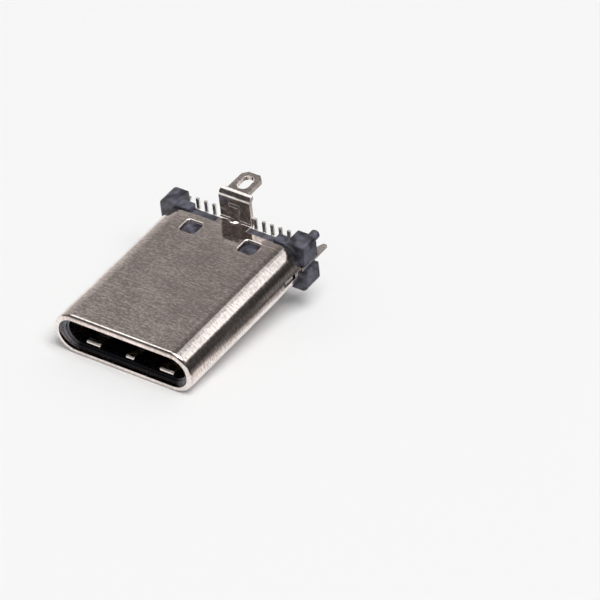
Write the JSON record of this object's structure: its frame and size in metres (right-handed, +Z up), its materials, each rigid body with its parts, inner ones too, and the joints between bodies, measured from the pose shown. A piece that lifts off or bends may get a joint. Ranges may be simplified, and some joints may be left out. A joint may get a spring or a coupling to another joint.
{
  "type": "usb-c plug",
  "caption": "USB-C plug for soldering upright on a board, with a rolled steel shell, folded solder legs, black insulators and two rows of spring contacts.",
  "frame": {"origin": "on the supporting surface, under the middle of the plug's box, with the plug lying on its front lip and its two lower legs", "axes": "X across the plug's width, Y from the mouth to the solder legs, Z up; the plug's own axis rises toward the rear by about 9 degrees"},
  "size_m": [0.0088, 0.0124, 0.0059],
  "materials": {
    "shell_steel": "satin, fine lines across the width",
    "black_plastic": "semi-matt moulded",
    "spring_steel": "bright rolled",
    "contact_metal": "bright plated"
  },
  "bodies": {
    "root": {"shell": "shell_steel", "front_housing": "black_plastic", "upper_emi_spring": "spring_steel", "lower_emi_spring": "spring_steel", "upper_insulator": "black_plastic", "lower_insulator": "black_plastic", "latch_plate": "spring_steel", "contact_a1": "contact_metal", "contact_a2": "contact_metal", "contact_a3": "contact_metal", "contact_a4": "contact_metal", "contact_a5": "contact_metal", "contact_a6": "contact_metal", "contact_a7": "contact_metal", "contact_a8": "contact_metal", "contact_a9": "contact_metal", "contact_a10": "contact_metal", "contact_a11": "contact_metal", "contact_a12": "contact_metal", "contact_b1": "contact_metal", "contact_b2": "contact_metal", "contact_b3": "contact_metal", "contact_b4": "contact_metal", "contact_b5": "contact_metal", "contact_b6": "contact_metal", "contact_b7": "contact_metal", "contact_b8": "contact_metal", "contact_b9": "contact_metal", "contact_b10": "contact_metal", "contact_b11": "contact_metal", "contact_b12": "contact_metal"}
  },
  "joints": []
}
